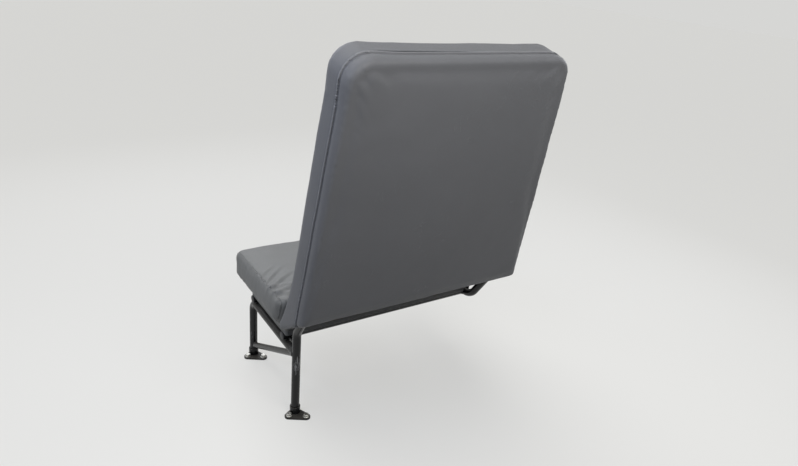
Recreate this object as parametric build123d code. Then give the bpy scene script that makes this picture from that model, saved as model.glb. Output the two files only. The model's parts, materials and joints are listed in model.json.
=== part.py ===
from build123d import *
from math import cos, radians, sin, tan
import os

# School bus passenger bench seat. Millimetres, +X towards the side wall, +Y the way a sitter faces, +Z up.
# The origin is on the floor, midway between the two floor bolts nearest the aisle.

# Driving sizes: whole seat
SEAT_WIDTH = 762.0
LEG_SPACING = 340.0
AISLE_OVERHANG = 61.0
WALL_OVERHANG = 30.0

# Driving sizes: steel tube frame
TUBE_DIAMETER = 25.4
TUBE_WALL = 2.1
RAIL_HEIGHT = 212.0
RAIL_BEND = 32.0
WALL_BEND = 60.0
REAR_TUBE_SETBACK = 72.0
UPRIGHT_KNEE_HEIGHT = 285.0
UPRIGHT_BEND = 45.0
UPRIGHT_DEPTH_IN_BACK = 60.0
UPRIGHT_HEIGHT_IN_BACK = 10.0
BRACE_DIAMETER = 19.0
BRACE_LOW_HEIGHT = 38.0
BRACE_HIGH_HEIGHT = 213.0
GUSSET_LENGTH = 56.0
GUSSET_THICKNESS = 4.0

# Driving sizes: feet and wall bracket
FOOT_PLATE = 5.0
FOOT_EAR_RADIUS = 13.0
FOOT_COLLAR_HEIGHT = 26.0
FOOT_COLLAR_WALL = 3.0
BOLT_HOLE_RADIUS = 5.5
BRACKET_THICKNESS = 4.0
BRACKET_HEIGHT = 44.0
BRACKET_LENGTH = 230.0
BRACKET_BOLT_SPACING = 180.0
BRACKET_CORNER = 10.0

# Bolt ears of a foot about its leg: x, y
AISLE_EAR = (-24.0, -10.0)
INNER_EAR = (20.0, -36.0)

# Driving sizes: back, with its depths and heights taken square to its own recline
BACK_RECLINE = 14.0
BACK_SETBACK = 149.0
BACK_FOOT_HEIGHT = 402.0
BACK_LENGTH = 728.0
BACK_THICKNESS = 97.0
BACK_LOWER_THICKNESS = 130.0
BACK_CURVE_START = 132.0
BACK_FRONT_DROP = 109.0
BACK_FOOT_FLAT = 26.0
BACK_FOOT_ROUND = 11.0
BACK_TAPER_AISLE = 8.0
BACK_TAPER_WALL = 136.0
BACK_TOP_CORNER = 58.0
BACK_PANEL_THICKNESS = 34.0
BACK_RIM_ROUND = 12.0

# Driving sizes: cushion
BOARD_THICKNESS = 12.0
BOARD_CORNER = 8.0
BOARD_INSET_END = 48.0
BOARD_INSET_FRONT = 36.0
BOARD_INSET_REAR = 34.0
CUSHION_TOP = 406.0
CUSHION_FULL_HEIGHT = 330.0
CUSHION_FRONT_OVERHANG = 16.0
CUSHION_REAR_LEAN = 19.0
CUSHION_CORNER = 30.0
CUSHION_TOP_ROUND = 22.0

# Driving sizes: hinge clips and spring catches under the cushion board
CLIP_WIDTH = 40.0
CLIP_THICKNESS = 2.5
CLIP_TAB = 34.0
CLIP_LIP = 4.0
CLIP_INSET = 170.0
CATCH_WIDTH = 30.0
CATCH_THICKNESS = 2.0
CATCH_DEPTH = 26.0
CATCH_TAB = 36.0
CATCH_FLARE = 5.0
CATCH_BEND = 5.0

# Clearances
REST_GAP = 0.3
RUNNING_GAP = 0.3
BORE_GAP = 0.4
CATCH_GAP = 1.6
CUSHION_BACK_GAP = 8.0

# Places worked out from the sizes above
TUBE_RADIUS = TUBE_DIAMETER / 2
LEG_X = -AISLE_EAR[0]
FRONT_LEG_Y = -AISLE_EAR[1] + LEG_SPACING / 2
REAR_LEG_Y = -AISLE_EAR[1] - LEG_SPACING / 2
AISLE_END_X = LEG_X - AISLE_OVERHANG
WALL_END_X = AISLE_END_X + SEAT_WIDTH
WALL_RAIL_X = WALL_END_X - WALL_OVERHANG
FRONT_TUBE_Y = FRONT_LEG_Y - RAIL_BEND
REAR_TUBE_Y = REAR_LEG_Y + REAR_TUBE_SETBACK
CROSS_TUBE_Z = RAIL_HEIGHT + TUBE_DIAMETER
BOARD_BOTTOM = CROSS_TUBE_Z + TUBE_RADIUS + REST_GAP
BOARD_TOP = BOARD_BOTTOM + BOARD_THICKNESS
CUSHION_FRONT = FRONT_LEG_Y + CUSHION_FRONT_OVERHANG
BOARD_FRONT = CUSHION_FRONT - BOARD_INSET_FRONT

RECLINE = radians(BACK_RECLINE)
BACK_UP = Vector(0, -sin(RECLINE), cos(RECLINE))
BACK_FORWARD = Vector(0, cos(RECLINE), sin(RECLINE))
BACK_FOOT = Vector(AISLE_END_X, REAR_LEG_Y - BACK_SETBACK, BACK_FOOT_HEIGHT)
REAR_FACE = Plane(origin=BACK_FOOT, x_dir=(1, 0, 0), z_dir=-BACK_FORWARD)
SIDE_PROFILE = Plane(origin=BACK_FOOT, x_dir=BACK_FORWARD, z_dir=(1, 0, 0))


def back_point(x, depth, height):
    """A point given by its x, its depth in front of the back's rear face and its height along the back."""
    point = BACK_FOOT + BACK_FORWARD * depth + BACK_UP * height
    return Vector(x, point.Y, point.Z)


def biggest(shape):
    """The largest solid of a shape, without the offcuts of a coping cut."""
    return max(shape.solids(), key=lambda solid: solid.volume)


def bar_along(path, diameter=TUBE_DIAMETER):
    """A round bar swept along a path: a tube whose ends are closed to view, or the room that one takes."""
    start = Plane(origin=path @ 0, z_dir=path % 0)
    return sweep(start * Circle(diameter / 2), path=path)


def open_tube(start, end):
    """A straight tube with open ends."""
    path = Line(start, end)
    return bar_along(path) - bar_along(path, TUBE_DIAMETER - 2 * TUBE_WALL)


def rear_leg_path():
    """Straight up from the foot, then leaning rearwards into the back; the hoop in the back is not modelled."""
    foot = (LEG_X, REAR_LEG_Y, FOOT_PLATE)
    knee = (LEG_X, REAR_LEG_Y, UPRIGHT_KNEE_HEIGHT)
    end = back_point(LEG_X, UPRIGHT_DEPTH_IN_BACK, UPRIGHT_HEIGHT_IN_BACK)
    return FilletPolyline(foot, knee, end, radius=UPRIGHT_BEND)


def wall_rail_path():
    """Rearwards at the cross tubes' height, then up into the back in line with the leaning part of the rear leg."""
    front = (WALL_RAIL_X, FRONT_TUBE_Y + TUBE_RADIUS, CROSS_TUBE_Z)
    knee = Vector(WALL_RAIL_X, REAR_LEG_Y, UPRIGHT_KNEE_HEIGHT)
    end = back_point(WALL_RAIL_X, UPRIGHT_DEPTH_IN_BACK, UPRIGHT_HEIGHT_IN_BACK)
    corner = knee + (knee - end) * ((UPRIGHT_KNEE_HEIGHT - CROSS_TUBE_Z) / (end.Z - UPRIGHT_KNEE_HEIGHT))
    return FilletPolyline(front, corner, end, radius=WALL_BEND)


def wall_rail_core():
    """The straight stretch of the wall rail, for coping what meets it."""
    return bar_along(Line((WALL_RAIL_X, REAR_LEG_Y, CROSS_TUBE_Z), (WALL_RAIL_X, FRONT_LEG_Y, CROSS_TUBE_Z)))


def leg_core(y):
    """The straight stretch of a leg, for coping what meets it."""
    return bar_along(Line((LEG_X, y, 0), (LEG_X, y, CROSS_TUBE_Z + TUBE_RADIUS)))


def make_front_leg():
    """Front leg and aisle side rail: one tube bent rearwards at the top, coped onto the rear leg."""
    foot = (LEG_X, FRONT_LEG_Y, FOOT_PLATE)
    corner = (LEG_X, FRONT_LEG_Y, RAIL_HEIGHT)
    end = (LEG_X, REAR_LEG_Y, RAIL_HEIGHT)
    leg = bar_along(FilletPolyline(foot, corner, end, radius=RAIL_BEND))
    return biggest(leg - leg_core(REAR_LEG_Y))


def make_rear_leg():
    """Rear leg, which runs on up into the back as its aisle upright."""
    return bar_along(rear_leg_path())


def make_wall_rail():
    """Side rail at the wall side, which bends up into the back as its wall upright."""
    return bar_along(wall_rail_path())


def side_rail_core():
    """The straight stretch of the aisle side rail, for coping what meets it."""
    return bar_along(Line((LEG_X, REAR_LEG_Y, RAIL_HEIGHT), (LEG_X, FRONT_LEG_Y - RAIL_BEND, RAIL_HEIGHT)))


def make_leg_brace():
    """Diagonal brace from low on the front leg into the corner of rear leg and side rail, coped onto all three."""
    low = (LEG_X, FRONT_LEG_Y, BRACE_LOW_HEIGHT)
    high = (LEG_X, REAR_LEG_Y, BRACE_HIGH_HEIGHT)
    brace = bar_along(Line(low, high), BRACE_DIAMETER)
    return biggest(brace - leg_core(FRONT_LEG_Y) - leg_core(REAR_LEG_Y) - side_rail_core())


def make_cross_tube(y):
    """Cross tube that lies on the aisle side rail and is coped onto the side of the wall rail."""
    tube = open_tube((LEG_X - TUBE_RADIUS, y, CROSS_TUBE_Z), (WALL_RAIL_X, y, CROSS_TUBE_Z))
    return biggest(tube - wall_rail_core())


def make_wall_bracket():
    """Steel angle: a flange under the wall rail and a web against the side wall with two bolt holes."""
    at_corner = (Align.MAX, Align.CENTER, Align.MIN)
    flange_width = WALL_END_X - WALL_RAIL_X + TUBE_RADIUS
    flange = Box(flange_width, BRACKET_LENGTH, BRACKET_THICKNESS, align=at_corner)
    web = Box(BRACKET_THICKNESS, BRACKET_LENGTH, BRACKET_HEIGHT, align=at_corner)
    web = fillet(web.edges().filter_by(Axis.X).group_by(Axis.Z)[-1], BRACKET_CORNER)
    bracket = web + flange
    hole_z = (BRACKET_THICKNESS + BRACKET_HEIGHT) / 2
    for y in (-BRACKET_BOLT_SPACING / 2, BRACKET_BOLT_SPACING / 2):
        bracket -= Pos(0, y, hole_z) * Rot(0, 90, 0) * Cylinder(BOLT_HOLE_RADIUS, 4 * BRACKET_THICKNESS)
    middle = (FRONT_TUBE_Y + REAR_TUBE_Y) / 2
    return Pos(WALL_END_X, middle, CROSS_TUBE_Z - TUBE_RADIUS - BRACKET_THICKNESS) * bracket


def foot_outline():
    """Plate outline that wraps the leg's collar and the two bolt ears."""
    edges = Circle(TUBE_RADIUS + FOOT_COLLAR_WALL).edges()
    for ear in (AISLE_EAR, INNER_EAR):
        edges += (Pos(*ear) * Circle(FOOT_EAR_RADIUS)).edges()
    return make_hull(edges)


def make_foot(leg_y):
    """Stamped foot: a plate with two bolt ears and a collar round the leg."""
    standing = (Align.CENTER, Align.CENTER, Align.MIN)
    foot = extrude(foot_outline(), amount=FOOT_PLATE)
    foot += Cylinder(TUBE_RADIUS + FOOT_COLLAR_WALL, FOOT_COLLAR_HEIGHT, align=standing)
    foot -= Pos(0, 0, FOOT_PLATE) * Cylinder(TUBE_RADIUS, FOOT_COLLAR_HEIGHT, align=standing)
    for ear in (AISLE_EAR, INNER_EAR):
        foot -= Pos(*ear) * Cylinder(BOLT_HOLE_RADIUS, 4 * FOOT_PLATE)
    return Pos(LEG_X, leg_y, 0) * foot


def make_gusset(x, inward, reach):
    """Flat triangular plate in the corner of a frame side at x and the rear cross tube, with its two legs."""
    corners = [(x, REAR_TUBE_Y), (x + inward, REAR_TUBE_Y), (x, REAR_TUBE_Y + reach)]
    plate = extrude(Polygon(*corners, align=None), amount=GUSSET_THICKNESS / 2, both=True)
    tube = bar_along(Line((LEG_X, REAR_TUBE_Y, CROSS_TUBE_Z), (WALL_RAIL_X, REAR_TUBE_Y, CROSS_TUBE_Z)))
    return biggest(Pos(0, 0, CROSS_TUBE_Z) * plate - tube - leg_core(REAR_LEG_Y) - wall_rail_core())


def is_rim(edge):
    """Whether an edge bounds the back's rear face, its sides or the top of its front face."""
    depths = [(edge @ share - BACK_FOOT).dot(BACK_FORWARD) for share in (0, 0.5, 1)]
    height = (edge @ 0.5 - BACK_FOOT).dot(BACK_UP)
    at_rear, at_front = max(depths) < 0.01, min(depths) > BACK_THICKNESS - 0.01
    if abs((edge % 0.5).X) > 0.5:
        return at_rear or (at_front and height > BACK_CURVE_START + 1)
    return at_rear or at_front or height < 1


def make_back():
    """The whole upholstered back: side profile crossed with the front outline, its rims rounded."""
    low = -BACK_FRONT_DROP
    with BuildSketch(SIDE_PROFILE) as profile:
        with BuildLine():
            Polyline((BACK_LOWER_THICKNESS, low), (BACK_LOWER_THICKNESS - BACK_FOOT_FLAT, low), (0, 0))
            Polyline((0, 0), (0, BACK_LENGTH), (BACK_THICKNESS, BACK_LENGTH))
            Line((BACK_THICKNESS, BACK_LENGTH), (BACK_THICKNESS, BACK_CURVE_START))
            TangentArc((BACK_THICKNESS, BACK_CURVE_START), (BACK_LOWER_THICKNESS, low), tangent=(0, -1))
        make_face()
        fillet(profile.vertices().group_by(Axis.Y)[0], BACK_FOOT_ROUND)
    with BuildSketch(REAR_FACE) as outline:
        with BuildLine():
            Polyline(
                (0, low),
                (BACK_TAPER_AISLE, BACK_LENGTH),
                (SEAT_WIDTH - BACK_TAPER_WALL, BACK_LENGTH),
                (SEAT_WIDTH, low),
                close=True,
            )
        make_face()
        fillet(outline.vertices().group_by(Axis.Y)[-1], BACK_TOP_CORNER)
    span = SEAT_WIDTH + 2 * BACK_THICKNESS
    across = Pos(-BACK_THICKNESS, 0, 0) * extrude(profile.sketch, amount=span)
    through = extrude(outline.sketch, amount=-2 * BACK_LOWER_THICKNESS)
    back = biggest(across & through)
    return fillet(back.edges().filter_by(is_rim), BACK_RIM_ROUND)


def behind_seam():
    """The space behind the welt seam, which runs parallel to the back's rear face."""
    reach = 4 * SEAT_WIDTH
    return extrude(REAR_FACE * Rectangle(reach, reach), amount=-BACK_PANEL_THICKNESS)


def make_back_panel():
    """Padded rear panel of the back, up to the welt seam."""
    return biggest(make_back() & behind_seam())


def make_back_pad():
    """Front of the back with its boxing band, bored for the two uprights."""
    pad = make_back() - behind_seam()
    for path in (rear_leg_path(), wall_rail_path()):
        pad -= bar_along(path, TUBE_DIAMETER + 2 * BORE_GAP)
    return biggest(pad)


def cushion_rear(height):
    """Rear of the cushion at a height: it leans with the lower front of the back, one gap before it."""
    corner = back_point(0, BACK_LOWER_THICKNESS, -BACK_FRONT_DROP)
    return corner.Y + CUSHION_BACK_GAP - (height - corner.Z) * tan(radians(CUSHION_REAR_LEAN))


def board_outline(height):
    """Outline of the board, drawn in from the cushion's full size, at a height."""
    rear = cushion_rear(CUSHION_FULL_HEIGHT) + BOARD_INSET_REAR
    outline = RectangleRounded(SEAT_WIDTH - 2 * BOARD_INSET_END, BOARD_FRONT - rear, BOARD_CORNER)
    return Pos((AISLE_END_X + WALL_END_X) / 2, (BOARD_FRONT + rear) / 2, height) * outline


def make_cushion_pad():
    """Foam cushion in its cover: full size with a rounded top, drawn in below to the edge of the board."""
    side = Polygon(
        (CUSHION_FRONT, CUSHION_FULL_HEIGHT),
        (CUSHION_FRONT, CUSHION_TOP),
        (cushion_rear(CUSHION_TOP), CUSHION_TOP),
        (cushion_rear(CUSHION_FULL_HEIGHT), CUSHION_FULL_HEIGHT),
        align=None,
    )
    upper = extrude(Plane.YZ.offset(AISLE_END_X) * side, amount=SEAT_WIDTH)
    corners = upper.edges().filter_by(lambda edge: abs((edge % 0.5).Z) > 0.5)
    upper = fillet(corners, CUSHION_CORNER)
    upper = fillet(upper.faces().sort_by(Axis.Z)[-1].edges(), CUSHION_TOP_ROUND)
    underside = upper.faces().sort_by(Axis.Z)[0]
    return upper + loft([board_outline(BOARD_TOP).face(), underside], ruled=True)


def make_cushion_board():
    """Plywood board under the cushion, which rests on the two cross tubes."""
    return extrude(board_outline(BOARD_BOTTOM), amount=BOARD_THICKNESS)


def side_sketch(x, y, z):
    """Plane for a side profile at x, with its own origin at y and z: first axis +Y, second axis +Z."""
    return Plane(origin=(x, y, z), x_dir=(0, 1, 0), z_dir=(1, 0, 0))


def make_hinge_clip(x):
    """Strap under the board that wraps round the front cross tube, on which the cushion swings."""
    inner = TUBE_RADIUS + RUNNING_GAP
    outer = inner + CLIP_THICKNESS
    board = BOARD_BOTTOM - CROSS_TUBE_Z
    bend = -0.65 * inner
    mouth = Pos(bend, CLIP_LIP) * Rectangle(4 * outer, 2 * outer, align=Align.MIN)
    tab = Pos(bend, board) * Rectangle(CLIP_TAB, CLIP_THICKNESS, align=Align.MAX)
    above_board = Pos(0, board) * Rectangle(4 * outer, outer, align=(Align.CENTER, Align.MIN))
    profile = Circle(outer) - mouth + tab - above_board - Circle(inner)
    plane = side_sketch(x, FRONT_TUBE_Y, CROSS_TUBE_Z)
    return biggest(extrude(plane * profile, amount=CLIP_WIDTH / 2, both=True))


def make_spring_catch(x):
    """Spring strip under the board that drops down the front of the rear cross tube, its tip flared."""
    face = TUBE_RADIUS + CATCH_GAP + CATCH_THICKNESS / 2
    top = BOARD_BOTTOM - CROSS_TUBE_Z - CATCH_THICKNESS / 2
    points = [
        (face + CATCH_FLARE, top - CATCH_DEPTH),
        (face, top - CATCH_DEPTH + 2 * CATCH_FLARE),
        (face, top),
        (face + CATCH_TAB, top),
    ]
    plane = side_sketch(x, REAR_TUBE_Y, CROSS_TUBE_Z)
    strip = offset(FilletPolyline(*points, radius=CATCH_BEND), amount=CATCH_THICKNESS / 2, kind=Kind.ARC)
    return extrude(plane * make_face(strip.edges()), amount=CATCH_WIDTH / 2, both=True)


def make_all():
    """Every piece of the seat by name."""
    pieces = {
        "front_leg": make_front_leg(),
        "rear_leg": make_rear_leg(),
        "leg_brace": make_leg_brace(),
        "front_foot": make_foot(FRONT_LEG_Y),
        "rear_foot": make_foot(REAR_LEG_Y),
        "front_cross_tube": make_cross_tube(FRONT_TUBE_Y),
        "rear_cross_tube": make_cross_tube(REAR_TUBE_Y),
        "wall_rail": make_wall_rail(),
        "wall_bracket": make_wall_bracket(),
        "aisle_gusset": make_gusset(LEG_X, GUSSET_LENGTH, REAR_LEG_Y - REAR_TUBE_Y),
        "wall_gusset": make_gusset(WALL_RAIL_X, -GUSSET_LENGTH, GUSSET_LENGTH),
        "back_pad": make_back_pad(),
        "back_panel": make_back_panel(),
        "cushion_pad": make_cushion_pad(),
        "cushion_board": make_cushion_board(),
    }
    for side, x in (("aisle", AISLE_END_X + CLIP_INSET), ("wall", WALL_END_X - CLIP_INSET)):
        pieces[side + "_hinge_clip"] = make_hinge_clip(x)
        pieces[side + "_spring_catch"] = make_spring_catch(x)
    return pieces


def main():
    os.makedirs("parts", exist_ok=True)
    for name, shape in make_all().items():
        export_step(shape, "parts/" + name + ".step")


if __name__ == "__main__":
    main()
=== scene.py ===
"""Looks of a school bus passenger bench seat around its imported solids.

Metres, +X to the side wall, +Y the way a sitter faces.
"""

import json
import math

import bmesh
import bpy
from bpy.props import FloatProperty, FloatVectorProperty, PointerProperty
from mathutils import Matrix, Vector, noise


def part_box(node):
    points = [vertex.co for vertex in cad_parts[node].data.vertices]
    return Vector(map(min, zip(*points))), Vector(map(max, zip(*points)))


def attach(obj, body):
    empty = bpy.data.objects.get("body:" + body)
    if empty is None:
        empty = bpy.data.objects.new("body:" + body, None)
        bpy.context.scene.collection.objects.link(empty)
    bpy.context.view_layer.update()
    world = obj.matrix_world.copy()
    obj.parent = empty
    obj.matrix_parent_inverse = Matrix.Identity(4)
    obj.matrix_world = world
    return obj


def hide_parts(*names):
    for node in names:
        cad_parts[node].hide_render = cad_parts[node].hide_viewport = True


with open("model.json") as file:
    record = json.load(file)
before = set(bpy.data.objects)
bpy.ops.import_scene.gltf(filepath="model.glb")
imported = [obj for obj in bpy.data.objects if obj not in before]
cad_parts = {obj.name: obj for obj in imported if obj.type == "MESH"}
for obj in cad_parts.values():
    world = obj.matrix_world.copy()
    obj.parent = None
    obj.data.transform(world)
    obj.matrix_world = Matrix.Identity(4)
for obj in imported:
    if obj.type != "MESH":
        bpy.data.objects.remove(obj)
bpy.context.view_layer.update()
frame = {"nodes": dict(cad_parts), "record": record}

bl_info = {
    "name": "Bus Bench Seat",
    "version": (1, 0, 0),
    "blender": (4, 5, 0),
    "location": "View3D > Sidebar > Bench Seat",
    "description": "Covers, seams, fasteners and finishes of a school bus passenger bench seat",
    "category": "Object",
}

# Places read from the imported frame
LEG_LOW, LEG_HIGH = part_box("front_leg")
TUBE_RADIUS = (LEG_HIGH.x - LEG_LOW.x) / 2
LEG_X = (LEG_LOW.x + LEG_HIGH.x) / 2
FRONT_LEG_Y = LEG_HIGH.y - TUBE_RADIUS
REAR_LEG_Y = LEG_LOW.y
SIDE_RAIL_Z = LEG_HIGH.z - TUBE_RADIUS
WALL_RAIL_LOW, WALL_RAIL_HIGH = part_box("wall_rail")
WALL_RAIL_X = (WALL_RAIL_LOW.x + WALL_RAIL_HIGH.x) / 2
CROSS_TUBE_Z = WALL_RAIL_LOW.z + TUBE_RADIUS
BOARD_LOW, BOARD_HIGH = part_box("cushion_board")
CUSHION_LOW, CUSHION_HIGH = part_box("cushion_pad")
FOOT_PLATE_TOP = LEG_LOW.z

# The back's own directions: it leans rearwards from its lower rear edge
RECLINE = math.radians(14)
BACK_SETBACK = 0.149
BACK_FOOT_HEIGHT = 0.402
BACK_LENGTH = 0.728
BACK_UP = Vector((0, -math.sin(RECLINE), math.cos(RECLINE)))
BACK_FORWARD = Vector((0, math.cos(RECLINE), math.sin(RECLINE)))
BACK_FOOT = Vector((CUSHION_LOW.x, REAR_LEG_Y - BACK_SETBACK, BACK_FOOT_HEIGHT))

# A row of stitches: their pitch and length, the thread's radius, and how far the row stands from its seam
STITCH_PITCH, STITCH_LENGTH, THREAD_RADIUS = 0.0055, 0.0040, 0.00045
BACK_STITCH_SHIFT, CUSHION_STITCH_SHIFT = 0.0042, 0.0038


def linear(code):
    """Linear colour of an sRGB hex value."""
    parts = [int(code[i : i + 2], 16) / 255 for i in (1, 3, 5)]
    return [p / 12.92 if p <= 0.04045 else ((p + 0.055) / 1.055) ** 2.4 for p in parts]


def measure(name, description, default, unit="LENGTH"):
    """A setting that is a number, in metres unless another unit is named."""
    return FloatProperty(name=name, description=description, default=default, unit=unit, precision=4)


def colour(name, description, code):
    """A setting that is a colour, given as an sRGB hex value."""
    return FloatVectorProperty(name=name, description=description, subtype="COLOR", default=linear(code))


class BackSettings(bpy.types.PropertyGroup):
    vinyl: colour("Vinyl", "Colour of the back's vinyl", "#626469")
    voxel: measure("Remesh size", "Size of the faces that are simulated", 0.006)
    slack: measure("Slack", "How far inside its full shape the cover starts", 0.0)
    swell: measure("Swell", "How far the foam may push the cover out", 0.005)
    sink: measure("Sink", "How far the cover may draw in", 0.0012)
    seam_depth: measure("Seam depth", "Depth of the welt seam before the rear face", 0.034)
    dome: measure("Dome", "Rise of the rear panel at its middle", 0.006)
    welt: measure("Welt", "Diameter of the welt", 0.0050)


class CushionSettings(bpy.types.PropertyGroup):
    vinyl: colour("Vinyl", "Colour of the cushion's vinyl", "#717374")
    voxel: measure("Remesh size", "Size of the faces that are simulated", 0.006)
    slack: measure("Slack", "How far inside its full shape the cover starts", 0.001)
    swell: measure("Swell", "How far the foam may push the cover out", 0.007)
    sink: measure("Sink", "How far the cover may draw in", 0.0015)
    seam_inset: measure("Seam inset", "Distance of the end seams from the cushion's ends", 0.012)
    crown: measure("Crown", "Rise of the cushion's top at its middle", 0.005)
    welt: measure("Welt", "Diameter of the welts", 0.0038)
    staple_pitch: measure("Staple pitch", "Distance between staples under the board", 0.038)


class FrameSettings(bpy.types.PropertyGroup):
    enamel: colour("Enamel", "Colour of the frame's enamel", "#0F1012")
    zinc: colour("Zinc", "Colour of plated steel", "#B4B4B0")
    veneer: colour("Veneer", "Colour of the board's face veneer", "#A98C62")
    weld: measure("Weld", "Radius of the weld beads", 0.0024)
    head: measure("Bolt head", "Width of the bolt heads across their flats", 0.0143)
    flange: measure("Bolt flange", "Diameter of the bolts' flanges", 0.0192)


class StageSettings(bpy.types.PropertyGroup):
    floor: colour("Floor", "Colour of the floor", "#E6E6E4")
    sky: measure("Sky", "Strength of the light from all round", 0.13, "NONE")
    sun: measure("Top light", "Strength of the wide light from above", 1.6, "NONE")
    key: measure("Key light", "Power of the light from behind", 14.0, "POWER")
    fill: measure("Fill light", "Power of the lights on the other sides", 11.0, "POWER")
    lens: measure("Lens", "Focal length of the camera in millimetres", 28.6, "NONE")


# Small tools


def select_none():
    """Leaves edit mode and deselects everything, ready for a new primitive."""
    if bpy.context.object and bpy.context.object.mode != "OBJECT":
        bpy.ops.object.mode_set(mode="OBJECT")
    bpy.ops.object.select_all(action="DESELECT")


def only(*objects):
    """Leaves just these objects selected, the first of them active."""
    select_none()
    for one in objects:
        one.select_set(True)
    bpy.context.view_layer.objects.active = objects[0]


def pick(piece, kind, test):
    """Opens a piece in edit mode with just the vertices, edges or faces selected that pass a test."""
    only(piece)
    bpy.ops.object.mode_set(mode="EDIT")
    bpy.ops.mesh.select_mode(type=kind)
    bpy.ops.mesh.select_all(action="DESELECT")
    shape = bmesh.from_edit_mesh(piece.data)
    for part in {"VERT": shape.verts, "EDGE": shape.edges, "FACE": shape.faces}[kind]:
        if test(part):
            part.select_set(True)
    shape.select_flush_mode()
    bmesh.update_edit_mesh(piece.data)


def apply_modifier(piece, kind, **settings):
    """Adds a modifier with its settings and applies it."""
    only(piece)
    made = piece.modifiers.new(kind.title(), kind)
    for name, value in settings.items():
        setattr(made, name, value)
    bpy.ops.object.modifier_apply(modifier=made.name)


def moved(piece, shift):
    """Moves each vertex of a piece by what a function says of its place and normal."""
    normals = [v.normal.copy() for v in piece.data.vertices]
    for v, n in zip(piece.data.vertices, normals):
        v.co += shift(v.co, n)
    piece.data.update()


def settle(piece):
    """Puts a piece's place into its mesh, so that its object sits at the origin."""
    only(piece)
    bpy.ops.object.transform_apply(location=True, rotation=True, scale=True)


def coat(piece, material):
    """Gives a piece one material in place of any it had."""
    piece.data.materials.clear()
    piece.data.materials.append(material)


def dress(piece, material, body):
    """Gives a finished piece its material and the body it rides on."""
    settle(piece)
    coat(piece, material)
    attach(piece, body)


def placed(name, data):
    """A new object that shows some data."""
    made = bpy.data.objects.new(name, data)
    bpy.context.collection.objects.link(made)
    return made


def joined(name, pieces):
    """One piece from several."""
    only(*pieces)
    if len(pieces) > 1:
        bpy.ops.object.join()
    whole = bpy.context.object
    whole.name = name
    whole.data.name = name
    return whole


def copy_of(piece, place):
    """A copy of a piece with its own mesh, put in a place given as a matrix."""
    only(piece)
    bpy.ops.object.duplicate(linked=False)
    twin = bpy.context.object
    twin.matrix_world = place @ piece.matrix_world
    settle(twin)
    return twin


def bump_step(low, high, value):
    """Smooth rise from 0 to 1 between two values."""
    share = min(max((value - low) / (high - low), 0.0), 1.0)
    return share * share * (3 - 2 * share)


def back_place(point):
    """Depth before the back's rear face and height along the back, of a point."""
    offset = point - BACK_FOOT
    return offset.dot(BACK_FORWARD), offset.dot(BACK_UP)


# Materials. A pattern's scale is MM over the real size of one of its cells in millimetres. Inputs go by name, or by
# number where names repeat: 0 factor, 6 and 7 colours of a mix, 0 value, 1 and 2 from, 3 and 4 to of a map range
MM = 1000.0


def opaque(colour, share=1.0):
    """A colour as a node takes it, made darker or lighter by a share."""
    return (*[min(c * share, 1) for c in colour], 1)


def plug(tree, node, values, links):
    """Sets a node's input values and links its inputs, each to an output or to the first output of a node."""
    for name, value in values.items():
        node.inputs[name].default_value = value
    for name, source in links.items():
        tree.links.new(getattr(source, "outputs", [source])[0], node.inputs[name])


def add(tree, kind, values=None, links=None, **settings):
    """Adds a shader node with its settings, its input values and its incoming links."""
    made = tree.nodes.new("ShaderNode" + kind)
    for name, value in settings.items():
        setattr(made, name, value)
    plug(tree, made, values or {}, links or {})
    return made


def blank(name):
    """A new material with an empty tree: its surface shader on its output, and the Object coordinates."""
    material = bpy.data.materials.new(name)
    material.use_nodes = True
    tree = material.node_tree
    tree.nodes.clear()
    shader = add(tree, "BsdfPrincipled")
    add(tree, "OutputMaterial", links={"Surface": shader})
    place = add(tree, "TexCoord").outputs["Object"]
    return material, tree, shader, place


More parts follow.
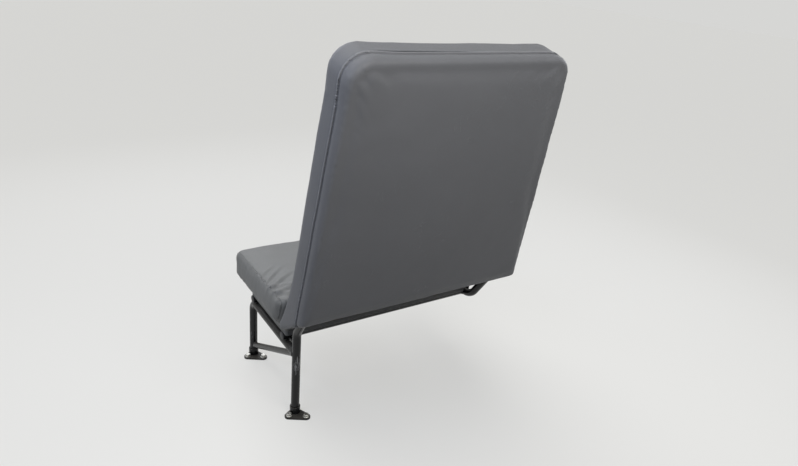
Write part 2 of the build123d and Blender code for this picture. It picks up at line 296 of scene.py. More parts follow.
def grained_vinyl(name, colour, grain_mm, crease, dust):
    """PVC-coated upholstery fabric, embossed with a leather grain while hot: a low sheen that the grain breaks up,
    fine set creases where it is stretched, and pale dust in the valleys of its grain."""
    material, tree, shader, place = blank(name)
    # The real grain is about 1.2 mm wide. It is drawn coarser so that it shows at this picture's scale, in cells
    # bent by up to 3.5 mm and with pores 1.1 mm apart
    warp = add(tree, "TexNoise", {"Scale": MM / 6.25, "Detail": 2.0}, {"Vector": place})
    bend = {1: (0.0035, 0.0035, 0.0035)}
    bent = add(tree, "VectorMath", bend, {0: warp.outputs["Color"]}, operation="MULTIPLY")
    spot = add(tree, "VectorMath", links={0: place, 1: bent}, operation="ADD")
    cells = add(tree, "TexVoronoi", {"Scale": MM / grain_mm}, {"Vector": spot}, feature="DISTANCE_TO_EDGE")
    pebbles = add(tree, "MapRange", {1: 0.0, 2: 0.32}, {0: cells}, interpolation_type="SMOOTHSTEP")
    fine = add(tree, "TexNoise", {"Scale": MM / 1.111, "Detail": 3.0}, {"Vector": place})
    pores = add(tree, "Math", {1: 0.35}, {0: fine}, operation="MULTIPLY")
    grain = add(tree, "Math", links={0: pebbles, 1: pores}, operation="ADD")
    # Set creases: thin lines about 29 mm long, broken every 17 mm or so, in patches about 143 mm wide
    leaned = add(tree, "Mapping", {"Scale": (1.0, 0.8, 0.55), "Rotation": (0.0, 0.5, 0.0)}, {"Vector": spot})
    field = add(tree, "TexNoise", {"Scale": MM / 29.4, "Detail": 1.5, "Distortion": 0.6}, {"Vector": leaned})
    off = add(tree, "Math", {1: 0.5}, {0: field}, operation="SUBTRACT")
    near = add(tree, "Math", links={0: off}, operation="ABSOLUTE")
    line = add(tree, "MapRange", {1: 0.0, 2: 0.012, 3: 1.0, 4: 0.0}, {0: near})
    patch = add(tree, "TexNoise", {"Scale": MM / 142.9, "Detail": 2.0}, {"Vector": place})
    broken = add(tree, "TexNoise", {"Scale": MM / 16.67, "Detail": 0.0}, {"Vector": place})
    there = add(tree, "MapRange", {1: 0.52, 2: 0.62}, {0: patch})
    gaps = add(tree, "MapRange", {1: 0.46, 2: 0.54}, {0: broken})
    some = add(tree, "Math", links={0: there, 1: gaps}, operation="MULTIPLY")
    creases = add(tree, "Math", links={0: line, 1: some}, operation="MULTIPLY")
    # Colour: a slow batch shade, dust in the valleys of the grain, paler creases
    slow = add(tree, "TexNoise", {"Scale": MM / 312.5, "Detail": 3.0}, {"Vector": place})
    shade = add(tree, "Mix", {6: opaque(colour, 0.90), 7: opaque(colour, 1.10)}, {0: slow}, data_type="RGBA")
    valley = add(tree, "MapRange", {1: 0.0, 2: 0.6, 3: dust, 4: 0.0}, {0: pebbles})
    grey = {7: opaque(linear("#8E8C86"))}
    dusted = add(tree, "Mix", grey, {0: valley, 6: shade.outputs[2]}, data_type="RGBA")
    paler = add(tree, "Math", {1: crease * 0.28}, {0: creases}, operation="MULTIPLY")
    pale = {7: opaque(linear("#9A9CA0"))}
    base = add(tree, "Mix", pale, {0: paler, 6: dusted.outputs[2]}, data_type="RGBA")
    # The tops of the grain are rubbed smoother than its valleys
    rough = add(tree, "MapRange", {1: 0.2, 2: 1.2, 3: 0.58, 4: 0.40}, {0: grain})
    fold = add(tree, "Bump", {"Strength": crease, "Distance": 0.0016}, {"Height": creases})
    skin = add(tree, "Bump", {"Strength": 0.55, "Distance": 0.00035}, {"Height": grain, "Normal": fold})
    values = {"IOR": 1.53, "Specular IOR Level": 0.34}
    plug(tree, shader, values, {"Base Color": base.outputs[2], "Roughness": rough, "Normal": skin})
    return material


def baked_enamel(name, colour, wear, dust):
    """Black enamel baked on welded steel tube: a deep gloss with slight orange peel, scuffed through to grey primer
    and steel where shoes and bags rub, and dusty on what faces up."""
    material, tree, shader, place = blank(name)
    # Orange peel 2.4 mm wide. Scuffs 24 mm long up the tube and 3 mm wide, in areas about 111 mm wide
    peel = add(tree, "TexNoise", {"Scale": MM / 2.38, "Detail": 2.0}, {"Vector": place})
    upward = add(tree, "Mapping", {"Scale": (MM / 3.125, MM / 3.125, MM / 23.81)}, {"Vector": place})
    rubs = add(tree, "TexNoise", {"Scale": 1.0, "Detail": 6.0, "Roughness": 0.7}, {"Vector": upward})
    areas = add(tree, "TexNoise", {"Scale": MM / 111.1, "Detail": 1.0}, {"Vector": place})
    both = add(tree, "Math", links={0: rubs, 1: areas}, operation="ADD")
    # Shoes and bags rub the stretch between 120 and 300 mm above the floor, most of all from 200 to 240 mm
    rise = add(tree, "SeparateXYZ", links={0: place}).outputs["Z"]
    low_end, high_end = {1: 0.12, 2: 0.20, 3: 0.0, 4: wear}, {1: 0.24, 2: 0.30, 3: 1.0, 4: 0.0}
    band = add(tree, "MapRange", low_end, {0: rise}, interpolation_type="SMOOTHSTEP")
    over = add(tree, "MapRange", high_end, {0: rise}, interpolation_type="SMOOTHSTEP")
    rubbed = add(tree, "Math", links={0: band, 1: over}, operation="MULTIPLY")
    likely = add(tree, "Math", links={0: both, 1: rubbed}, operation="ADD")
    chips = add(tree, "MapRange", {1: 1.30, 2: 1.36}, {0: likely})
    # Dust settles on what faces up
    facing = add(tree, "NewGeometry").outputs["Normal"]
    up = add(tree, "SeparateXYZ", links={0: facing}).outputs["Z"]
    settled = add(tree, "MapRange", {1: 0.35, 2: 1.0, 3: 0.0, 4: dust}, {0: up})
    film = add(tree, "Math", links={0: settled, 1: areas}, operation="MULTIPLY")
    paint = add(tree, "Mix", {6: opaque(colour), 7: opaque(linear("#6F6B64"))}, {0: film}, data_type="RGBA")
    steel = {7: opaque(linear("#77787A"))}
    worn = add(tree, "Mix", steel, {0: chips, 6: paint.outputs[2]}, data_type="RGBA")
    dull = add(tree, "MapRange", {1: 0.0, 2: 0.4, 3: 0.27, 4: 0.62}, {0: film})
    metal = add(tree, "Math", {1: 0.55}, {0: chips}, operation="MULTIPLY")
    step = add(tree, "Bump", {"Strength": 0.4, "Distance": 0.0002}, {"Height": chips}, invert=True)
    skin = add(tree, "Bump", {"Strength": 0.12, "Distance": 0.0004}, {"Height": peel, "Normal": step})
    links = {"Base Color": worn.outputs[2], "Roughness": dull, "Metallic": metal, "Normal": skin}
    plug(tree, shader, {"Specular IOR Level": 0.32}, links)
    return material


def zinc_plate(name, colour, tarnish):
    """Zinc plated on rolled steel: a bright grey metal with faint rolling lines, clouded by white tarnish."""
    material, tree, shader, place = blank(name)
    # Rolling lines 1.1 mm apart and 17 mm long, tarnish in clouds 9 mm wide
    rolled = add(tree, "Mapping", {"Scale": (MM / 16.67, MM / 1.111, MM / 1.111)}, {"Vector": place})
    lines = add(tree, "TexNoise", {"Scale": 1.0, "Detail": 3.0}, {"Vector": rolled})
    cloud = add(tree, "TexNoise", {"Scale": MM / 9.09, "Detail": 4.0}, {"Vector": place})
    share = add(tree, "MapRange", {1: 0.45, 2: 0.7, 3: 0.0, 4: tarnish}, {0: cloud})
    base = add(tree, "Mix", {6: opaque(colour), 7: opaque(linear("#8B8A84"))}, {0: share}, data_type="RGBA")
    rough = add(tree, "MapRange", {1: 0.3, 2: 0.7, 3: 0.28, 4: 0.46}, {0: lines})
    skin = add(tree, "Bump", {"Strength": 0.2, "Distance": 0.0001}, {"Height": lines})
    links = {"Base Color": base.outputs[2], "Roughness": rough, "Normal": skin}
    plug(tree, shader, {"Metallic": 1.0}, links)
    return material


def softwood_plywood(name, colour):
    """Rotary-cut softwood plywood, sawn and left bare: open grain along its length on the faces, and on its edges
    the plies, about 2.4 mm each, light and dark in turn."""
    material, tree, shader, place = blank(name)
    # The figure is 333 mm long and 38 mm wide, with about 55 / 2 pi rings from its darkest to its lightest
    along = add(tree, "Mapping", {"Scale": (MM / 333.3, MM / 38.46, MM / 38.46)}, {"Vector": place})
    figure = add(tree, "TexNoise", {"Scale": 1.0, "Detail": 5.0, "Distortion": 1.4}, {"Vector": along})
    rings = add(tree, "Math", {1: 55.0}, {0: figure}, operation="MULTIPLY")
    grain = add(tree, "Math", links={0: rings}, operation="SINE")
    share = add(tree, "MapRange", {1: -1.0, 2: 1.0}, {0: grain})
    face = add(tree, "Mix", {6: opaque(colour, 0.62), 7: opaque(colour)}, {0: share}, data_type="RGBA")
    # Two plies, one light and one dark, are a wave 4.8 mm long up through the board
    height = add(tree, "SeparateXYZ", links={0: place}).outputs["Z"]
    plies = add(tree, "Math", {1: 2 * math.pi * MM / 4.8}, {0: height}, operation="MULTIPLY")
    wave = add(tree, "Math", links={0: plies}, operation="SINE")
    layer = add(tree, "MapRange", {1: -0.3, 2: 0.3}, {0: wave})
    edge = add(tree, "Mix", {6: opaque(colour, 0.40), 7: opaque(colour, 0.85)}, {0: layer}, data_type="RGBA")
    facing = add(tree, "NewGeometry").outputs["Normal"]
    upright = add(tree, "SeparateXYZ", links={0: facing}).outputs["Z"]
    level = add(tree, "Math", links={0: upright}, operation="ABSOLUTE")
    flat = add(tree, "MapRange", {1: 0.4, 2: 0.6}, {0: level})
    base = add(tree, "Mix", links={0: flat, 6: edge.outputs[2], 7: face.outputs[2]}, data_type="RGBA")
    rough = add(tree, "MapRange", {1: -1.0, 2: 1.0, 3: 0.82, 4: 0.66}, {0: grain})
    skin = add(tree, "Bump", {"Strength": 0.3, "Distance": 0.0004}, {"Height": grain})
    plug(tree, shader, {}, {"Base Color": base.outputs[2], "Roughness": rough, "Normal": skin})
    return material


def bonded_thread(name, colour):
    """Bonded nylon sewing thread: plies twisted together, whose ridges run slantwise, with a waxy sheen."""
    material, tree, shader, place = blank(name)
    # Ridges 0.955 mm apart: a diagonal wave repeats after pi / (5 sqrt 3) of its cell
    wave = {"Scale": MM / 0.955 * math.pi / (5 * math.sqrt(3)), "Distortion": 1.0}
    twist = add(tree, "TexWave", wave, {"Vector": place}, bands_direction="DIAGONAL")
    ridge = twist.outputs["Fac"]
    base = add(tree, "Mix", {6: opaque(colour, 0.7), 7: opaque(colour)}, {0: ridge}, data_type="RGBA")
    skin = add(tree, "Bump", {"Strength": 0.4, "Distance": 0.0002}, {"Height": ridge})
    plug(tree, shader, {"Roughness": 0.5}, {"Base Color": base.outputs[2], "Normal": skin})
    return material


def moulded_plastic(name, colour):
    """Low-density polyethylene, injection moulded: waxy black with a fine spark-eroded texture, greyed by hands."""
    material, tree, shader, place = blank(name)
    # Sparks left pits 0.7 mm wide in the mould. Handling greys it in clouds 11 mm wide
    spark = add(tree, "TexNoise", {"Scale": MM / 0.714, "Detail": 2.0}, {"Vector": place})
    cloud = add(tree, "TexNoise", {"Scale": MM / 11.1, "Detail": 3.0}, {"Vector": place})
    greyed = [c * 2.2 + 0.01 for c in colour]
    base = add(tree, "Mix", {6: opaque(colour), 7: opaque(greyed)}, {0: cloud}, data_type="RGBA")
    skin = add(tree, "Bump", {"Strength": 0.25, "Distance": 0.0002}, {"Height": spark})
    plug(tree, shader, {"Roughness": 0.48}, {"Base Color": base.outputs[2], "Normal": skin})
    return material


def seen_by_eye(tree):
    """1 for the camera's rays and for reflections, 0 for the rest of the light."""
    rays = add(tree, "LightPath").outputs
    return add(tree, "Math", links={0: rays["Is Camera Ray"], 1: rays["Is Glossy Ray"]}, operation="MAXIMUM")


def painted_floor(name, colour, bounce):
    """Matt paint rolled on a studio floor: an even pale ground with a faint stipple about 2 mm apart. The camera and
    reflections see it lifted towards white, with the seat's shadow; the light it throws back up stays low."""
    material, tree, shader, place = blank(name)
    stipple = add(tree, "TexNoise", {"Scale": MM / 2, "Detail": 2.0}, {"Vector": place})
    mottle = {6: opaque(colour, 0.985), 7: opaque(colour)}
    base = add(tree, "Mix", mottle, {0: stipple}, data_type="RGBA").outputs[2]
    plug(tree, shader, {"Roughness": 0.85}, {"Base Color": base})
    glow = add(tree, "Emission", {"Strength": 1.0}, {"Color": base})
    pale = add(tree, "MixShader", {0: 0.6}, {1: shader, 2: glow})
    dim = add(tree, "BsdfDiffuse", {"Color": (bounce, bounce, bounce, 1)})
    shown = add(tree, "MixShader", links={0: seen_by_eye(tree), 1: dim, 2: pale})
    end = next(n for n in tree.nodes if n.bl_idname == "ShaderNodeOutputMaterial")
    plug(tree, end, {}, {"Surface": shown})
    return material


# Padded covers, swelled by the foam's pressure for this many frames, as cloth with these settings
CLOTH_FRAMES = 20
CLOTH = {
    "quality": 5,
    "mass": 0.3,
    "tension_stiffness": 12,
    "compression_stiffness": 12,
    "bending_stiffness": 0.8,
    "use_pressure": True,
    "uniform_pressure_force": 4.0,
    "vertex_group_mass": "held",
}


def cover_from(name, *nodes, extra=()):
    """One cover from copies of padded solids and any extra lumps of foam, its loose triangles merged."""
    parts = list(extra) + [placed(name, frame["nodes"][node].data.copy()) for node in nodes]
    cover = joined(name, parts)
    cover.data.materials.clear()
    pick(cover, "VERT", lambda v: True)
    bpy.ops.mesh.remove_doubles(threshold=0.00002)
    only(cover)
    return cover


def stuff(cover, s, holds):
    """Remeshes a cover, draws it in by its slack and lets the foam's pressure swell it by cloth simulation, but for
    what holds it. It ends at most its swell away from where it starts, and at most its sink inside it."""
    apply_modifier(cover, "REMESH", mode="VOXEL", voxel_size=s.voxel, use_smooth_shade=True)
    apply_modifier(cover, "SMOOTH", iterations=2, factor=0.5)
    moved(cover, lambda p, n: -s.slack * (1 - holds(p, n)) * n)
    start = [(v.co.copy(), v.normal.copy()) for v in cover.data.vertices]
    held = cover.vertex_groups.new(name=CLOTH["vertex_group_mass"])
    for v in cover.data.vertices:
        held.add([v.index], holds(v.co, v.normal), "REPLACE")
    only(cover)
    scene = bpy.context.scene
    cloth = cover.modifiers.new("Foam", "CLOTH")
    for name, value in CLOTH.items():
        setattr(cloth.settings, name, value)
    cloth.settings.effector_weights.gravity = 0.0
    cloth.point_cache.frame_start, cloth.point_cache.frame_end = 1, CLOTH_FRAMES
    for step in range(1, CLOTH_FRAMES + 1):
        scene.frame_set(step)
    bpy.ops.object.modifier_apply(modifier=cloth.name)
    scene.frame_set(1)
    for v, (first, normal) in zip(cover.data.vertices, start):
        travel = v.co - first
        travel -= min(travel.dot(normal) + s.sink, 0.0) * normal
        v.co = first + travel * (s.swell / max(travel.length, s.swell))
    apply_modifier(cover, "SMOOTH", iterations=2, factor=0.5)
    apply_modifier(cover, "SUBSURF", levels=1, render_levels=1)
    cover.vertex_groups.clear()
    cover.data.update()


def cut_line(cover, point, normal):
    """Cuts a line of edges round a cover where a plane meets it."""
    pick(cover, "VERT", lambda v: True)
    bpy.ops.mesh.bisect(plane_co=point, plane_no=normal, use_fill=False)
    only(cover)


def seam_line(cover, name, test):
    """A curve along the edges of a cover that pass a test."""
    pick(cover, "EDGE", lambda e: all(test(v.co) for v in e.verts))
    bpy.ops.mesh.duplicate()
    bpy.ops.mesh.separate(type="SELECTED")
    bpy.ops.object.mode_set(mode="OBJECT")
    line = next(o for o in bpy.context.selected_objects if o != cover)
    line.name = name
    line.data.materials.clear()
    apply_modifier(line, "WELD", merge_threshold=0.0008)
    only(line)
    bpy.ops.object.convert(target="CURVE")
    for spline in line.data.splines:
        spline.use_cyclic_u = True
    return line


def cord_along(line, name, radius):
    """A round piping made along a curve, as a mesh. The curve stays."""
    only(line)
    bpy.ops.object.duplicate(linked=False)
    piping = bpy.context.object
    piping.data.bevel_depth = radius
    piping.data.bevel_resolution = 4
    only(piping)
    bpy.ops.object.convert(target="MESH")
    piping.name = piping.data.name = name
    bpy.ops.object.shade_smooth()
    return piping


def stitches_along(line, name, outward):
    """Stitches along a curve: one is modelled, then copied at its pitch, each lying along the seam."""
    select_none()
    bpy.ops.mesh.primitive_uv_sphere_add(segments=6, ring_count=5, radius=1.0)
    stitch = bpy.context.object
    bpy.ops.transform.resize(value=(STITCH_LENGTH / 2, THREAD_RADIUS, THREAD_RADIUS))
    settle(stitch)
    copies = []
    for spline in line.data.splines:
        points = [Vector(p.co[:3]) for p in spline.points]
        walked, due = 0.0, 0.0
        for a, b in zip(points, points[1:] + points[:1]):
            run = (b - a).length
            while walked + run > due and run > 1e-9:
                place = a.lerp(b, (due - walked) / run)
                along = (b - a).normalized()
                lift = outward(place).normalized()
                side = along.cross(lift).normalized()
                turn = Matrix((along, side, lift)).transposed().to_4x4()
                mesh = stitch.data.copy()
                mesh.transform(Matrix.Translation(place) @ turn)
                copies.append(placed(name, mesh))
                due += STITCH_PITCH
            walked += run
    bpy.data.objects.remove(stitch)
    row = joined(name, copies)
    bpy.ops.object.shade_smooth()
    return row


# Where the wall upright runs up into the pad: its knee's height, and its end as a depth before the back's rear face
# and a height along the back. Foam of this thickness lies over the end, risen a little above it and drawn down below
WALL_KNEE_HEIGHT = 0.285
WALL_END_DEPTH, WALL_END_HEIGHT = 0.060, 0.010
FOAM_OVER_END, FOAM_RISE, FOAM_DRAW = 0.004, 0.002, 0.075

# Edges cut round the back beside its seam, and the valleys they bend into: place behind the seam, half width, depth.
# An edge this near the seam's plane is on the seam
SEAM_CUTS = (-0.0085, -0.0055, -0.0026, 0.0, 0.0026)
SEAM_VALLEYS = ((0.0050, 0.0032, 0.0030), (-0.0040, 0.0030, 0.0012), (0.0, 0.014, 0.0014))
BACK_SEAM_NEAR = 0.0011


def foam_over_upright():
    """A lump of foam over the wall upright's end, which lies in the pad's leaning side. It is drawn down along the
    tube."""
    end = BACK_FOOT + BACK_FORWARD * WALL_END_DEPTH + BACK_UP * WALL_END_HEIGHT
    end.x = WALL_RAIL_X
    along = (end - Vector((WALL_RAIL_X, REAR_LEG_Y, WALL_KNEE_HEIGHT))).normalized()
    select_none()
    bpy.ops.mesh.primitive_uv_sphere_add(segments=24, ring_count=16, radius=TUBE_RADIUS + FOAM_OVER_END)
    lump = bpy.context.object
    moved(lump, lambda p, n: Vector((0, 0, -FOAM_DRAW if p.z < -0.001 else FOAM_RISE)))
    lump.data.transform(Matrix.Translation(end) @ along.to_track_quat("Z", "Y").to_matrix().to_4x4())
    return lump


class SEAT_OT_sew_back(bpy.types.Operator):
    """Sews the cover of the back: padded front with its boxing band, domed rear panel, welt and stitches"""

    bl_idname = "seat.sew_back"
    bl_label = "Sew the back"

    def execute(self, context):
        s = context.scene.seat_back
        seam = s.seam_depth
        low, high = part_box("back_panel")
        middle_x, half_width = (low.x + high.x) / 2, (high.x - low.x) / 2

        def holds(place, normal):
            at_seam = 1 - bump_step(0.0, 0.012, abs(back_place(place)[0] - seam))
            below = bump_step(0.35, 0.75, -normal.z)
            return max(at_seam, below)

        def shaped(place, normal):
            height = back_place(place)[1] / BACK_LENGTH
            across = (place.x - middle_x) / half_width
            crown = max(0.0, 1 - across**2) * max(0.0, 1 - ((height - 0.5) * 2) ** 2)
            dome = s.dome * crown * max(0.0, -normal.dot(BACK_FORWARD))
            belly = 0.5 * s.dome * crown * max(0.0, normal.dot(BACK_FORWARD))
            plump = 0.004 * bump_step(0.55, 0.95, abs(across)) * bump_step(0.80, 0.98, height)
            lazy = 0.0012 * (noise.noise(place * 9) + 0.5 * noise.noise(place * 23))
            return normal * (dome + belly + plump + lazy)

        def groove(place, normal):
            behind = seam - back_place(place)[0]
            sunk = sum(deep * math.exp(-(((behind - at) / wide) ** 2)) for at, wide, deep in SEAM_VALLEYS)
            return normal * -sunk

        def on_seam(place):
            return abs(back_place(place)[0] - seam) < BACK_SEAM_NEAR

        cover = cover_from("back_front_cover", "back_pad", "back_panel", extra=[foam_over_upright()])
        stuff(cover, s, holds)
        moved(cover, shaped)
        for shift in SEAM_CUTS:
            cut_line(cover, BACK_FOOT + BACK_FORWARD * (seam + shift), BACK_FORWARD)
        moved(cover, groove)
        line = seam_line(cover, "back_seam_line", on_seam)
        vinyl = grained_vinyl("charcoal_grained_pvc_vinyl", s.vinyl, grain_mm=2.6, crease=0.55, dust=0.10)
        # The welt is the back's own vinyl, drawn 1.5 times paler: a painted highlight for the light line along its
        # round crest
        paler = [min(c * 1.5, 1) for c in s.vinyl]
        welt_vinyl_painted_highlight = grained_vinyl("charcoal_pvc_welt_painted_highlight", paler, grain_mm=1.6, crease=0.2, dust=0.25)
        thread = bonded_thread("grey_bonded_nylon_thread", linear("#7A7C80"))
        welt = cord_along(line, "back_welt", s.welt / 2)
        # The cover is parted at the welt into its padded front and its rear panel, each closed with a face
        pick(cover, "FACE", lambda f: back_place(f.calc_center_median())[0] < seam)
        bpy.ops.mesh.separate(type="SELECTED")
        bpy.ops.object.mode_set(mode="OBJECT")
        panel = next(o for o in context.selected_objects if o != cover)
        panel.name = panel.data.name = "back_rear_panel"
        for piece in (cover, panel):
            pick(piece, "EDGE", lambda e: e.is_boundary and all(on_seam(v.co) for v in e.verts))
            bpy.ops.mesh.edge_face_add()
            only(piece)
            bpy.ops.object.shade_smooth()
            dress(piece, vinyl, "frame")
        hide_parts("back_pad")
        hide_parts("back_panel")
        dress(welt, welt_vinyl_painted_highlight, "frame")
        centre = BACK_FOOT + BACK_UP * (BACK_LENGTH / 2)
        centre.x = middle_x

        def outward(place):
            offset = place - centre
            return offset - BACK_FORWARD * offset.dot(BACK_FORWARD)

        row = stitches_along(line, "back_stitches", outward)
        moved(row, lambda p, n: BACK_FORWARD * BACK_STITCH_SHIFT)
        dress(row, thread, "frame")
        bpy.data.objects.remove(line)
        return {"FINISHED"}


# Folds pulled into the cushion's top by its end seams, as start, end, half width and rise
PULL_FOLDS = (
    ((-0.040, -0.097), (0.026, -0.141), 0.009, 0.0042),
    ((-0.038, -0.070), (0.050, -0.100), 0.007, 0.0026),
    ((-0.028, -0.048), (0.036, 0.002), 0.007, 0.0030),
    ((-0.030, -0.084), (0.047, -0.040), 0.008, 0.0034),
    ((-0.034, -0.120), (0.060, -0.092), 0.008, 0.0030),
    ((-0.036, -0.015), (0.020, 0.022), 0.006, 0.0018),
    ((0.724, -0.100), (0.664, -0.130), 0.008, 0.0030),
    ((0.724, -0.050), (0.668, -0.020), 0.007, 0.0022),
)
# The middle and half depth of the cushion's crown, the heights between which its folds come up, and the height its
# stitches face away from
CROWN_Y, CROWN_HALF_DEPTH = 0.01, 0.18
FOLDS_FROM_Z, FOLDS_TO_Z = 0.34, 0.40
CUSHION_HEART_Z = 0.335
# The half width of the groove along its end seams, and how near a seam's plane an edge is on the seam
GROOVE_HALF_WIDTH, CUSHION_SEAM_NEAR = 0.0022, 0.0009


def fold_rise(place):
    """How far the folds lift the cushion's top at a place: each is a ridge with a valley beside it."""
    rise = 0.0
    for start, end, width, height in PULL_FOLDS:
        a, b = Vector(start), Vector(end)
        run = b - a
        spot = Vector((place.x, place.y)) - a
        share = spot.dot(run) / run.length_squared
        if -0.3 < share < 1.4:
            aside = spot.cross(run) / run.length
            fade = bump_step(-0.3, 0.1, share) * (1 - bump_step(0.35, 1.4, share))
            valley = math.exp(-(((aside - 1.6 * width) / width) ** 2))
            ridge = math.exp(-((aside / width) ** 2)) - 0.8 * valley
            rise += height * fade * ridge
    return rise


class SEAT_OT_sew_cushion(bpy.types.Operator):
    """Sews the cover of the cushion: crowned top, end caps, end seams with their folds, welts and stitches"""

    bl_idname = "seat.sew_cushion"
    bl_label = "Sew the cushion"

    def execute(self, context):
        s = context.scene.seat_cushion
        seams = (CUSHION_LOW.x + s.seam_inset, CUSHION_HIGH.x - s.seam_inset)
        middle_x, half_width = (CUSHION_LOW.x + CUSHION_HIGH.x) / 2, (CUSHION_HIGH.x - CUSHION_LOW.x) / 2

        def from_seam(place):
            return min(abs(place.x - x) for x in seams)

        def holds(place, normal):
            at_seam = 1 - bump_step(0.0, 0.010, from_seam(place))
            below = 1 - bump_step(0.0, 0.03, place.z - BOARD_HIGH.z)
            behind = bump_step(0.2, 0.8, -normal.y)
            return max(0.8 * at_seam, below, behind)

        def shaped(place, normal):
            across = (place.x - middle_x) / half_width
            fore = (place.y - CROWN_Y) / CROWN_HALF_DEPTH
            crown = max(0.0, 1 - across**4) * max(0.0, 1 - fore**2) * max(0.0, normal.z)
            lift = bump_step(FOLDS_FROM_Z, FOLDS_TO_Z, place.z) * max(0.0, normal.z)
            ruck = noise.noise(Vector((place.x * 14, place.y * 62, place.z * 30)))
            gather = 0.0011 * ruck * math.exp(-((from_seam(place) / 0.016) ** 2))
            lazy = 0.0016 * (noise.noise(place * 11) + 0.5 * noise.noise(place * 27))
            return normal * (s.crown * crown + lift * fold_rise(place) + gather + lazy)

        def groove(place, normal):
            away = from_seam(place)
            pinch = max(0.0, 1 - (away / GROOVE_HALF_WIDTH) ** 2)
            return normal * (-0.0014 * pinch - 0.0014 * math.exp(-((away / 0.008) ** 2)))

        cover = cover_from("cushion_cover", "cushion_pad")
        stuff(cover, s, holds)
        moved(cover, shaped)
        for x in seams:
            for shift in (-GROOVE_HALF_WIDTH, 0.0, GROOVE_HALF_WIDTH):
                cut_line(cover, (x + shift, 0, 0), (1, 0, 0))
        moved(cover, groove)
        line = seam_line(cover, "cushion_seam_line", lambda p: from_seam(p) < CUSHION_SEAM_NEAR)
        vinyl = grained_vinyl("grey_grained_pvc_vinyl", s.vinyl, grain_mm=3.2, crease=0.35, dust=0.30)
        thread = bonded_thread("pale_bonded_nylon_thread", linear("#85878A"))
        welt = cord_along(line, "cushion_welts", s.welt / 2)
        row = stitches_along(line, "cushion_stitches", lambda p: Vector((0, p.y, p.z - CUSHION_HEART_Z)))
        moved(row, lambda p, n: Vector((math.copysign(CUSHION_STITCH_SHIFT, middle_x - p.x), 0, 0)))
        bpy.data.objects.remove(line)
        only(cover)
        bpy.ops.object.shade_smooth()
        dress(cover, vinyl, "cushion")
        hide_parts("cushion_pad")
        dress(welt, vinyl, "cushion")
        dress(row, thread, "cushion")
        return {"FINISHED"}


# Hard pieces


def upright_cylinder(sides, radius, height, middle=0.0):
    """A cylinder that stands on end over the origin, with its middle at a height."""
    select_none()
    bpy.ops.mesh.primitive_cylinder_add(vertices=sides, radius=radius, depth=height, location=(0, 0, middle))
    return bpy.context.object


def step_in(piece, *steps):
    """Insets the top face of a piece again and again, each step an inset and a rise."""
    pick(piece, "FACE", lambda f: f.normal.z > 0.9)
    for inset, rise in steps:
        bpy.ops.mesh.inset(thickness=inset)
        bpy.ops.transform.translate(value=(0, 0, rise))


def hex_bolt(head, flange, shank):
    """A flange bolt standing on z = 0: a coned round flange, a hex head with chamfered corners and a dished top, and
    its 9.4 mm shank below."""
    plate = upright_cylinder(32, flange / 2, 0.0012, 0.0006)
    step_in(plate, (flange / 2 - head * 0.60, 0.0012))
    cap = upright_cylinder(6, head / math.sqrt(3), 0.0058, 0.0049)
    step_in(cap, (head * 0.055, 0.0007), (head * 0.16, -0.0005))
    apply_modifier(cap, "BEVEL", width=0.0004, segments=2, limit_method="ANGLE")
    stem = upright_cylinder(20, 0.0047, shank, -shank / 2 + 0.0005)
    apply_modifier(stem, "BEVEL", width=0.0006, segments=2, limit_method="ANGLE")
    apply_modifier(plate, "BEVEL", width=0.0003, segments=2, limit_method="ANGLE")
    bolt = joined("bolt", [plate, cap, stem])
    bpy.ops.object.shade_smooth_by_angle(angle=math.radians(35))
    settle(bolt)
    return bolt


# How far each bolt's head is turned from square, in degrees, and how thick the bracket is under it
BOLT_TURNS = {"rear": 17, "front": 41}
BRACKET_THICKNESS = 0.004


class SEAT_OT_drive_bolts(bpy.types.Operator):
    """Bolts the feet to the floor and the bracket to the wall with zinc-plated flange bolts"""

    bl_idname = "seat.drive_bolts"
    bl_label = "Drive the bolts"

    def execute(self, context):
        s = context.scene.seat_frame
        bolt = hex_bolt(s.head, s.flange, FOOT_PLATE_TOP)
        steel = zinc_plate("zinc_plated_bolt_steel", s.zinc, tarnish=0.7)
        for mount in frame["record"]["mounts"]:
            if mount["kind"] != "bolt_pattern":
                continue
            middle, dims = Vector(mount["pos_m"]), mount["dims"]
            half = dims.get("spacing_y_mm", dims.get("spacing_x_mm")) / 2000
            for end, y in (("rear", middle.y - half), ("front", middle.y + half)):
                if mount["name"] == "wall_bolts":
                    seat = Matrix.Translation((middle.x - BRACKET_THICKNESS, y, middle.z))
                    seat = seat @ Matrix.Rotation(-math.pi / 2, 4, "Y")
                else:
                    seat = Matrix.Translation((middle.x, y, FOOT_PLATE_TOP))
                one = copy_of(bolt, seat @ Matrix.Rotation(math.radians(BOLT_TURNS[end]), 4, "Z"))
                one.name = one.data.name = mount["name"].replace("bolts", "bolt") + "_" + end
                dress(one, steel, "frame")
        bpy.data.objects.remove(bolt)
        return {"FINISHED"}


# How many points a ring of weld is drawn through
RING_POINTS = 40


def coped_ring(start, along, radius, on, axis, radius_on):
    """Points round a tube where it meets another, given as a point on its middle line, its direction and radius, and
    the same of the other. Each point runs along the tube's skin up to the other's."""
    along, axis = along.normalized(), axis.normalized()
    side = along.cross(Vector((0.3, 0.5, 0.8))).normalized()
    other = along.cross(side)
    points = []
    for i in range(RING_POINTS):
        angle = 2 * math.pi * i / RING_POINTS
        p = start + radius * (math.cos(angle) * side + math.sin(angle) * other)
        w = p - on
        w = w - axis * w.dot(axis)
        d = along - axis * along.dot(axis)
        a, b, c = d.dot(d), 2 * w.dot(d), w.dot(w) - radius_on**2
        root = math.sqrt(max(b * b - 4 * a * c, 0.0))
        points.append(p + along * ((-b - root) / (2 * a)))
    return points


